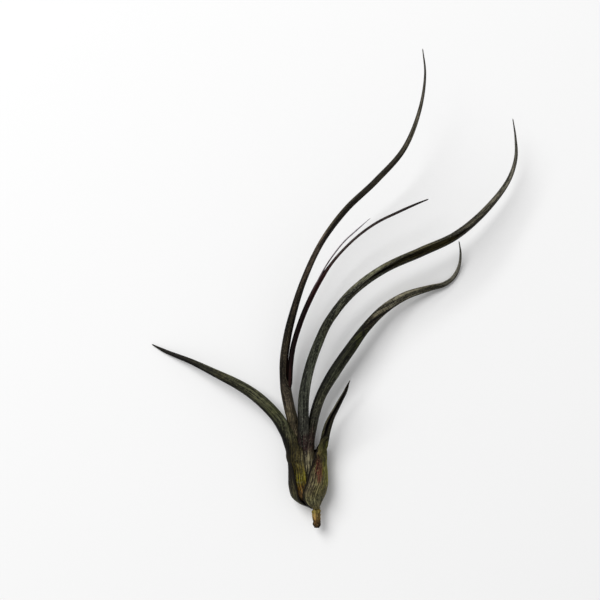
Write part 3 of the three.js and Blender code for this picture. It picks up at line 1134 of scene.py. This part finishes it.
STEM = Stalk(
    node="stem",
    route=((6.1, -22.6, 5.5), (6.2, -19.8, 5.5), (6.1, -16.7, 5.6), (5.7, -14, 5.6), (4.4, -11.4, 5.6),
           (2.2, -7, 5.7), (1, -3, 5.8)),
    girth=((0, 1.2, 1.2), (0.9, 1.7, 1.7), (3.2, 1.85, 1.85), (5.6, 2, 2), (7.6, 1.95, 1.9),
           (8.8, 1.2, 1.2), (14, 1.1, 1.1), (21, 0.9, 0.9)),
    finish=LeafFinish(
        skin=((0.0, (28, 16, 8)), (0.08, (46, 30, 14)), (0.16, (80, 58, 29)), (0.22, (118, 94, 52)),
              (0.29, (122, 100, 56)), (0.36, (106, 92, 46)), (0.44, (100, 88, 46)), (0.52, (60, 52, 30))),
        channel=((0.0, (60, 50, 30)), (1.0, (60, 50, 30))),
        scurf=(150, 138, 92), scurf_amount=0.4, streaks=0.6, roughness=0.8,
    ),
    around=56, step=0.25, knobs=0.5, pointed=False, point=1.0,
)

THREAD = Stalk(
    node="leaf_thread",
    route=((0.4, 5, 6), (-1, 11.4, 5.7), (-2.4, 17, 5.6), (-4.5, 24.7, 6.2), (-6.5, 32.7, 7),
           (-6.8, 37, 7.8), (-6.05, 41, 8.8), (-5.6, 49, 10.7), (-4.4, 57.4, 12.5), (-0.9, 68.8, 15.2),
           (3, 78.2, 17.2), (7, 86.8, 19.2), (10.2, 92.5, 20.6), (14.3, 98.4, 22), (18.2, 103, 23),
           (23.4, 107.7, 24), (29, 112.6, 25)),
    girth=((0, 0.3, 0.3),),
    finish=LeafFinish(
        skin=((0.0, (40, 24, 20)), (0.6, (50, 34, 34)), (0.75, (78, 68, 72)), (1.0, (104, 98, 104))),
        channel=((0.0, (40, 30, 30)), (1.0, (40, 30, 30))),
        scurf_amount=0.15, streaks=0.2,
    ),
    point=0.4, point_length=9.0,
)

WINE = Leaf(
    node="leaf_wine",
    route=((0.7, 0.5, 6), (0.4, 5, 5.9), (-0.7, 11.4, 5.5), (-2.1, 17, 5.4), (-4.2, 24.7, 6),
           (-6.2, 32.7, 6.8), (-6.5, 37, 7.6), (-5.75, 41, 8.6), (-5.3, 49, 10.5), (-4.1, 57.4, 12.3),
           (-0.6, 68.8, 15), (3.3, 78, 17), (8, 86.8, 18.9), (14.5, 95.85, 20.5), (23.5, 104.8, 21.8),
           (31.8, 110.7, 22.4), (40.55, 115, 22.6), (48.1, 118.4, 22.5), (54, 120.8, 22)),
    girth=((0, 1.3, 0.9), (4.4, 1.6, 1.1), (11, 1.4, 1.2), (20, 1.1, 1.1), (37, 1.1, 1.1), (43, 1.2, 1.2),
           (84, 1.15, 1.15), (92, 1, 1), (98, 0.68, 0.68), (113, 0.56, 0.56), (136, 0.58, 0.58),
           (150, 0.4, 0.4)),
    wall=((0, 0.6),),
    edges=((0, -178, 118),),
    sheath=8,
    # painted light and shade on the flanks and top, partly the leaf's own tone
    shade=((0, 0.7, 1, 0.8), (44, 0.9, 1.2, 1.6), (56, 0.7, 0.4, 0.8), (76, 0.8, 0.32, 1),
           (92, 0.8, 0.5, 0.6), (102, 1, 0.7, 3.6), (112, 1, 0.9, 3.6), (130, 1, 1, 1.2)),
    ribs=11,
    finish=LeafFinish(
        skin=((0.0, (40, 22, 18)), (0.3, (30, 13, 11)), (0.38, (28, 10, 8)), (0.5, (34, 11, 8)),
              (0.59, (54, 19, 15)), (0.65, (60, 38, 34)), (0.72, (66, 56, 52)), (0.8, (52, 42, 38)),
              (1.0, (40, 32, 30))),
        channel=((0.0, (10, 5, 5)), (1.0, (16, 9, 8))),
        scurf=(110, 84, 80), scurf_amount=0.05, streaks=0.5, roughness=0.55,
    ),
)

LONG = Leaf(
    node="leaf_long",
    route=((1.5, -4.8, 5.8), (0.9, -1.7, 5.9), (0.5, 3.6, 6), (0.2, 9, 6.6), (0.1, 16, 8),
           (0.3, 23.2, 9.6), (0.4, 34, 11.8), (1.7, 42.7, 13.5), (3.9, 51.2, 15), (7, 59.5, 16.5),
           (11, 68, 17.8), (21, 80.7, 19.5), (34.8, 90.9, 19.5), (51.15, 98.35, 18), (66, 105.3, 15.5),
           (79.6, 116.65, 12.5), (89.75, 129.75, 11), (92.9, 139.6, 11.5), (92.5, 148.3, 13),
           (91, 156.3, 15)),
    girth=((0, 1.7, 1.5), (3.2, 2.5, 1.9), (8.5, 3, 2.1), (14, 2.8, 2.3), (21, 2.6, 2.5),
           (28, 2.45, 2.45), (40, 2.4, 2.4), (48, 2.25, 2.25), (66, 2.05, 2.05), (76, 1.9, 1.9),
           (109, 2, 2), (127, 2.1, 2.1), (144, 1.85, 1.85), (162, 1.5, 1.5), (178, 1.1, 1.1),
           (189, 0.78, 0.78), (206, 0.3, 0.3)),
    wall=((0, 0.7), (14, 0.7), (28, 1.5), (95, 1.5), (107, 0.8), (140, 0.7), (152, 0.9), (162, 0.9),
          (189, 0.6)),
    edges=((0, -35, 215), (14, -35, 215), (28, -60, 240), (40, -62, 242), (57, -46, 262), (70, -14, 306),
           (80, 30, 360), (86, 62, 406), (96, 72, 420), (104, 94, 422), (112, 98, 410), (120, 116, 410),
           (130, 118, 402), (138, 116, 400), (146, 92, 408), (153, 66, 412), (165, 40, 386),
           (206, 35, 380)),
    sheath=10,
    # painted light and shade on the flanks and top, partly the leaf's own tone
    shade=((0, 0.9, 0.7, 0.6), (20, 0.8, 0.8, 0.38), (28, 1.4, 0.8, 0.28), (38, 1.9, 0.7, 0.68),
           (60, 2, 0.8, 0.5), (84, 1.6, 0.84, 0.4), (92, 1, 1.2, 1.1), (102, 0.9, 1.4, 2.4),
           (118, 0.9, 1.4, 3.4), (132, 0.9, 1.25, 2.5), (140, 0.8, 1, 1), (150, 0.8, 0.95, 0.36),
           (162, 0.9, 1.15, 0.75), (180, 1.2, 3, 1), (206, 1.2, 1.9, 0.45)),
    ribs=16,
    finish=LeafFinish(
        skin=((0.0, (50, 34, 28)), (0.08, (44, 30, 28)), (0.11, (40, 32, 28)), (0.135, (50, 49, 44)),
              (0.2, (52, 54, 46)), (0.25, (53, 55, 46)), (0.31, (47, 49, 38)), (0.335, (48, 49, 38)),
              (0.365, (40, 39, 28)), (0.4, (58, 58, 46)), (0.46, (60, 59, 47)), (0.5, (50, 50, 38)),
              (0.55, (36, 34, 22)), (0.6, (30, 27, 15)), (0.67, (36, 33, 20)), (0.73, (58, 54, 44)),
              (0.8, (66, 62, 52)), (0.88, (60, 57, 50)), (1.0, (50, 48, 46))),
        channel=((0.0, (20, 16, 11)), (0.4, (30, 28, 18)), (0.5, (47, 43, 27)), (0.56, (56, 52, 34)),
                 (0.62, (53, 48, 28)), (0.69, (64, 58, 34)), (1.0, (30, 27, 19))),
        scurf=(140, 144, 124), scurf_amount=0.36,
        patches=(Patch((1.2, 13, 9.5), (5.5, 6.5, 9), (44, 27, 27), 0.75),),
        wrinkles=((0.37, 0.47),),
    ),
)

TALL = Leaf(
    node="leaf_tall",
    route=((2.2, -8.1, 5.8), (1.2, -4.8, 5.9), (0.9, -0.8, 6), (0.7, 4, 6), (0, 9.3, 5.8),
           (-1.3, 13.6, 5.6), (-3.9, 22.9, 5.7), (-6.1, 31.7, 6.5), (-7.65, 41, 8), (-8.1, 50.3, 9.8),
           (-7, 59.6, 11.8), (-5.1, 68.4, 13.6), (0.3, 85.6, 17), (8, 102, 20), (18.3, 116, 23),
           (31.2, 128.3, 25.5), (42.85, 141.5, 28), (49.3, 157.6, 31), (51.3, 172, 34.2), (50, 182.5, 37)),
    girth=((0, 2.3, 2.1), (3.5, 3.6, 2.9), (7.5, 4.1, 3.1), (12, 4.1, 3.1), (18, 3.6, 3), (22, 3.1, 2.9),
           (32, 2.5, 2.5), (41, 2.45, 2.45), (47, 2.45, 2.45), (52, 2.2, 2.2), (60, 1.95, 1.95),
           (78, 1.72, 1.72), (90, 1.48, 1.48), (97, 1.38, 1.38), (115, 1.3, 1.3), (133, 1.35, 1.35),
           (151, 1.3, 1.3), (169, 1.12, 1.12), (186, 0.8, 0.8), (201, 0.5, 0.5), (212, 0.3, 0.3)),
    wall=((0, 0.7), (22, 0.7), (32, 0.8), (60, 0.8), (70, 1.1), (97, 1), (151, 0.9), (186, 0.6)),
    edges=((0, 60, 350), (4, 50, 360), (12, 40, 370), (18, 45, 365), (22, 68, 340), (26, 60, 330),
           (31, -10, 310), (36, -66, 286), (45, -66, 286), (48, -20, 300), (50.5, 37, 322), (54, 68, 333),
           (60, 57, 335), (69, 55, 355), (97, 43, 347), (115, 28, 332), (133, 8, 312), (151, -2, 302),
           (169, -2, 302), (212, 28, 332)),
    sheath=15,
    # painted light and shade on the flanks and top, partly the leaf's own tone
    shade=((0, 0.9, 1.2, 0.8), (30, 0.6, 1, 0.6), (38, 1.1, 1.6, 1), (46, 1.1, 1.2, 0.55),
           (54, 1.3, 0.7, 0.27), (64, 1.5, 0.85, 0.6), (78, 0.85, 0.7, 0.22), (98, 0.85, 1.25, 0.26),
           (122, 0.6, 0.42, 1.6), (150, 0.85, 0.5, 0.5), (166, 0.7, 0.6, 0.45), (176, 1.4, 2.6, 0.42),
           (212, 1.1, 1.4, 1.5)),
    ribs=17,
    finish=LeafFinish(
        skin=((0.0, (60, 48, 34)), (0.14, (66, 58, 42)), (0.17, (62, 56, 42)), (0.21, (54, 48, 40)),
              (0.26, (38, 33, 25)), (0.36, (36, 31, 21)), (0.46, (43, 35, 28)), (0.545, (64, 56, 47)),
              (0.6, (42, 38, 28)), (0.64, (33, 30, 19)), (0.74, (50, 45, 35)), (0.83, (56, 53, 44)),
              (0.9, (56, 53, 47)), (1.0, (48, 46, 42))),
        channel=((0.0, (30, 16, 12)), (0.26, (74, 38, 30)), (0.34, (70, 34, 28)), (0.42, (30, 18, 14)),
                 (1.0, (24, 19, 14))),
        scurf=(134, 122, 98),
    ),
)

HOOKED = Leaf(
    node="leaf_hooked",
    route=((4, -10.3, 5.8), (2.2, -7.4, 5.9), (1.2, -1.7, 6), (1.2, 3.1, 6), (1.5, 8, 6), (1.95, 12.4, 6),
           (2.95, 16.8, 6.2), (4.05, 21.2, 6.4), (5.35, 27.4, 6.8), (8.15, 35.8, 7.9), (14.5, 47, 9.3),
           (20.85, 56.2, 9.9), (27.35, 65.1, 9.8), (35.4, 73.3, 8.3), (45, 79.3, 5.8), (56.1, 82.8, 2.9),
           (62.6, 84.5, 1.45), (66.7, 87.4, 1), (69.2, 92.2, 1.6), (69.8, 98, 3.2), (68.8, 103.7, 5.5)),
    girth=((0, 2.3, 2.2), (3.4, 4.1, 3.4), (9, 5.3, 4.1), (14, 5.2, 4.1), (19, 4.4, 3.8), (23, 3.4, 3.2),
           (28, 2.5, 2.6), (32, 2.2, 2.3), (39, 2.22, 2.22), (48, 2.28, 2.28), (60, 2.62, 2.62),
           (72, 2.5, 2.5), (83, 2.15, 2.15), (94, 2.1, 2.1), (106, 1.85, 1.85), (118, 1.42, 1.42),
           (130, 0.95, 0.95), (141, 0.5, 0.5), (148, 0.3, 0.3)),
    wall=((0, 0.7), (23, 0.7), (32, 1.1), (39, 1.6), (72, 1.7), (94, 1.4), (118, 0.9), (130, 0.65),
          (141, 0.6)),
    edges=((0, -150, 110), (9, -150, 105), (19, -150, 104), (28, -158, 116), (34, -172, 140),
           (46, -176, 144), (56, -188, 150), (64, -196, 156), (75, -204, 148), (80, -225, 120),
           (84, -248, 88), (88, -270, 62), (92, -292, 36), (98, -318, 6), (118, -335, -15),
           (136, -355, -40)),
    sheath=20,
    # painted light and shade on the flanks and top, partly the leaf's own tone
    shade=((0, 0.8, 1, 0.9), (26, 0.7, 0.95, 0.65), (36, 0.85, 1.2, 0.45), (44, 1.6, 1.2, 0.22),
           (52, 2.4, 0.75, 0.14), (64, 0.75, 0.47, 0.2), (80, 0.5, 0.38, 0.38), (86, 0.8, 0.95, 0.6),
           (92, 1.8, 1.9, 1.6), (104, 2.4, 0.95, 3.4), (116, 1, 0.72, 2.8), (124, 1, 1.2, 2.3),
           (134, 1.8, 3.4, 3.8), (148, 1, 1.4, 1.4)),
    ribs=20,
    finish=LeafFinish(
        skin=((0.0, (88, 80, 56)), (0.13, (86, 78, 54)), (0.16, (60, 50, 40)), (0.19, (42, 34, 30)),
              (0.22, (38, 35, 27)), (0.26, (42, 41, 34)), (0.31, (46, 46, 33)), (0.39, (46, 48, 36)),
              (0.46, (40, 41, 28)), (0.51, (48, 50, 27)), (0.55, (52, 54, 26)), (0.58, (42, 37, 25)),
              (0.61, (56, 52, 40)), (0.66, (68, 65, 54)), (0.72, (66, 63, 52)), (0.8, (56, 53, 42)),
              (0.88, (54, 52, 46)), (1.0, (50, 49, 46))),
        channel=((0.0, (16, 12, 8)), (0.45, (20, 17, 8)), (0.54, (38, 29, 12)), (0.64, (44, 34, 19)),
                 (1.0, (30, 26, 18))),
        scurf=(142, 140, 116), scurf_amount=0.36,
        patches=(
            Patch((3.6, 16.5, 9), (3.4, 6, 6), (44, 27, 26), 0.7),
            Patch((1.6, 6.2, 10), (5, 5.2, 6), (112, 105, 82), 0.8),
            Patch((24.3, 62.5, 12), (2, 4.2, 4), (62, 64, 22), 0.5),
            # The next two are painted shade in the fold where the leaf rolls over into its gutter
            Patch((29.2, 69, 12), (2.5, 1.9, 4), (24, 17, 9), 0.85),
            Patch((26.6, 64.6, 12), (0.9, 4.2, 4), (14, 10, 5), 0.85),
        ),
        wrinkles=((0.6, 0.72),),
    ),
)

LEFT = Leaf(
    node="leaf_left",
    route=((4.9, -12.2, 5.8), (2.4, -10.1, 5.9), (1.8, -7, 5.9), (1.2, -1.7, 6), (1, 2.7, 6),
           (-0.2, 7, 6), (-1.85, 11.3, 6.1), (-4.3, 15, 6.3), (-7, 19.5, 6.7), (-11.1, 26, 7.4),
           (-16.3, 31.8, 8.1), (-22.1, 36.7, 8.6), (-28.5, 40.7, 8.6), (-38.8, 45.7, 7.1),
           (-49.3, 50.5, 4.3), (-56.6, 53.2, 2), (-61.2, 55, 0.85), (-67, 58, 0.6)),
    girth=((0, 1.7, 1.7), (3.4, 3.9, 3.3), (6.6, 5.9, 4.6), (12, 6.5, 5.1), (16, 6.4, 5.1),
           (18, 6.5, 5.1), (20.5, 6.75, 5), (22, 6.65, 4.9), (25, 5.65, 4.45), (30, 4.05, 3.75),
           (35, 3.05, 3), (43, 2.7, 2.7), (51, 2.65, 2.65), (66, 2.2, 2.2), (89, 1.25, 1.25), (97, 1, 1),
           (103, 0.78, 0.78), (110, 0.3, 0.3)),
    wall=((0, 0.7), (21, 0.7), (30, 0.9), (35, 1.4), (43, 1.9), (58, 1.8), (89, 0.9), (103, 0.6)),
    edges=((0, 75, 300), (12, 86, 300), (16, 88, 300), (21, 83, 300), (25, 70, 306), (30, 40, 296),
           (35, 5, 282), (41, -52, 250), (110, -52, 250)),
    sheath=21,
    # painted light and shade on the flanks and top, partly the leaf's own tone
    shade=((0, 0.75, 1, 1.6), (9, 0.75, 1.3, 1.8), (14, 0.75, 1, 0.7), (18, 0.75, 0.9, 0.36),
           (23, 0.8, 0.75, 0.2), (28, 0.5, 0.5, 0.16), (36, 0.9, 0.85, 0.12), (47, 1.3, 0.78, 0.24),
           (55, 1.1, 0.78, 0.36), (64, 0.65, 0.72, 0.26), (72, 1.3, 0.6, 0.28), (84, 0.8, 0.4, 0.1),
           (94, 0.5, 0.34, 0.2), (110, 0.6, 0.45, 0.5)),
    ribs=20,
    finish=LeafFinish(
        skin=((0.0, (74, 54, 28)), (0.056, (76, 55, 30)), (0.087, (66, 48, 14)), (0.1, (68, 57, 12)),
              (0.126, (76, 70, 14)), (0.16, (64, 56, 19)), (0.217, (60, 52, 22)), (0.267, (52, 46, 22)),
              (0.318, (58, 58, 42)), (0.362, (66, 68, 50)), (0.416, (59, 61, 40)), (0.468, (61, 62, 44)),
              (0.536, (70, 71, 52)), (0.606, (54, 55, 40)), (0.68, (58, 56, 38)), (0.75, (51, 51, 40)),
              (0.823, (36, 33, 25)), (0.9, (40, 36, 32)), (1.0, (46, 42, 38))),
        channel=((0.0, (26, 20, 8)), (0.3, (18, 16, 9)), (1.0, (20, 18, 12))),
        scurf=(140, 136, 100), margin=0.25,
        patches=(Patch((1.5, 7.8, 10.5), (2.4, 5, 6), (98, 91, 68), 0.8),),
    ),
)

SHORT = Leaf(
    node="leaf_short",
    route=((5.6, -14.1, 5.7), (3.3, -11.8, 6), (2.4, -9.2, 6), (2.4, -6.8, 6), (2.45, -1.7, 6),
           (2.35, 2.7, 6), (2.25, 7, 6), (4, 9.6, 6.3), (6.9, 11.8, 6.8), (8.8, 13.6, 7.3), (9.6, 16, 8),
           (10.2, 19.2, 9), (11.3, 23.2, 10), (12.8, 26.9, 11.3), (14.6, 30.4, 12.6), (16.4, 34, 14),
           (18.3, 37.6, 15.5), (19.6, 41, 17), (20.4, 43, 17.6)),
    girth=((0, 2.3, 2.15), (3.2, 4.9, 4.1), (6, 7.1, 5.3), (8.3, 8.1, 5.8), (13, 8.8, 6.15),
           (18, 8.7, 6.15), (22, 8.55, 5.9), (25, 7.2, 5.1), (28.5, 4.4, 3.7), (31, 2.55, 2.5),
           (34, 1.95, 1.95), (37, 1.87, 1.87), (42, 1.7, 1.7), (46, 1.42, 1.42), (50, 1.22, 1.22),
           (54, 1.08, 1.08), (58, 0.9, 0.9), (62, 0.66, 0.66), (65, 0.3, 0.3)),
    wall=((0, 0.7), (28, 0.7), (32, 1), (36, 0.85), (40, 0.7), (54, 0.62)),
    edges=((0, -236, 110), (8, -236, 107), (13, -230, 95), (18, -222, 86), (21.5, -213, 76),
           (24, -180, 75), (26, -118, 81), (27.5, -100, 90), (29, -98, 98), (30, -113, 113),
           (32, -142, 146), (34, -172, 172), (36, -216, 132), (38, -246, 86), (41, -240, 82),
           (47, -238, 80), (53, -238, 70), (65, -234, 72)),
    sheath=24,
    # painted light and shade on the flanks and top, partly the leaf's own tone
    shade=((0, 1.6, 1.7, 0.6), (5, 1.7, 1.6, 0.5), (9, 1.1, 0.95, 0.45), (13, 1.3, 1.2, 0.4),
           (18, 1.3, 1.15, 0.3), (21, 0.9, 1, 0.22), (25, 0.65, 0.75, 0.5), (28, 0.45, 1.1, 1.2),
           (32, 0.8, 0.68, 1.1), (38, 0.9, 0.78, 1.3), (46, 0.6, 1.2, 2.6), (56, 0.55, 0.8, 3.8),
           (65, 1, 1, 1.4)),
    ribs=44,
    finish=LeafFinish(
        skin=((0.0, (76, 70, 44)), (0.08, (70, 68, 48)), (0.142, (82, 77, 50)), (0.184, (84, 79, 54)),
              (0.26, (72, 66, 46)), (0.36, (70, 66, 40)), (0.43, (78, 74, 38)), (0.48, (56, 56, 22)),
              (0.53, (34, 32, 16)), (0.57, (30, 30, 20)), (0.65, (34, 32, 25)), (0.8, (32, 31, 26)),
              (0.92, (38, 37, 33)), (1.0, (44, 42, 40))),
        channel=((0.0, (24, 18, 9)), (0.5, (12, 10, 6)), (0.62, (7, 6, 4)), (1.0, (12, 11, 9))),
        scurf=(148, 138, 92), scurf_amount=0.42, streaks=0.75, margin=0.95,
        patches=(
            Patch((6.5, 7.5, 12), (2.5, 4.8, 9), (48, 20, 17), 0.9),
            Patch((7.4, 2.4, 12), (2.1, 5.4, 9), (64, 31, 24), 0.85),
            Patch((2.4, -3.5, 12), (3.2, 5.5, 9), (62, 52, 46), 0.55),
            # Dark purple-grey on the left strip: partly the sheath's own colour, partly painted shade on
            # that flank
            Patch((-6.4, 3, 8), (3, 13, 10), (24, 16, 13), 0.92),
            Patch((11.2, 4, 8), (2.6, 10, 9), (92, 92, 26), 0.7),
        ),
    ),
    rib_depth=0.12,
    step=0.45,
    edge_line=1.0,
)


def main() -> None:
    """Builds the studio and the plant, and notes how large the plant has become."""
    logging.basicConfig(level=logging.INFO, format="%(name)s: %(message)s")
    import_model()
    Studio().build()
    Plant([STEM, THREAD, WINE, LONG, TALL, HOOKED, LEFT, SHORT]).build()


if __name__ == "__main__":
    main()
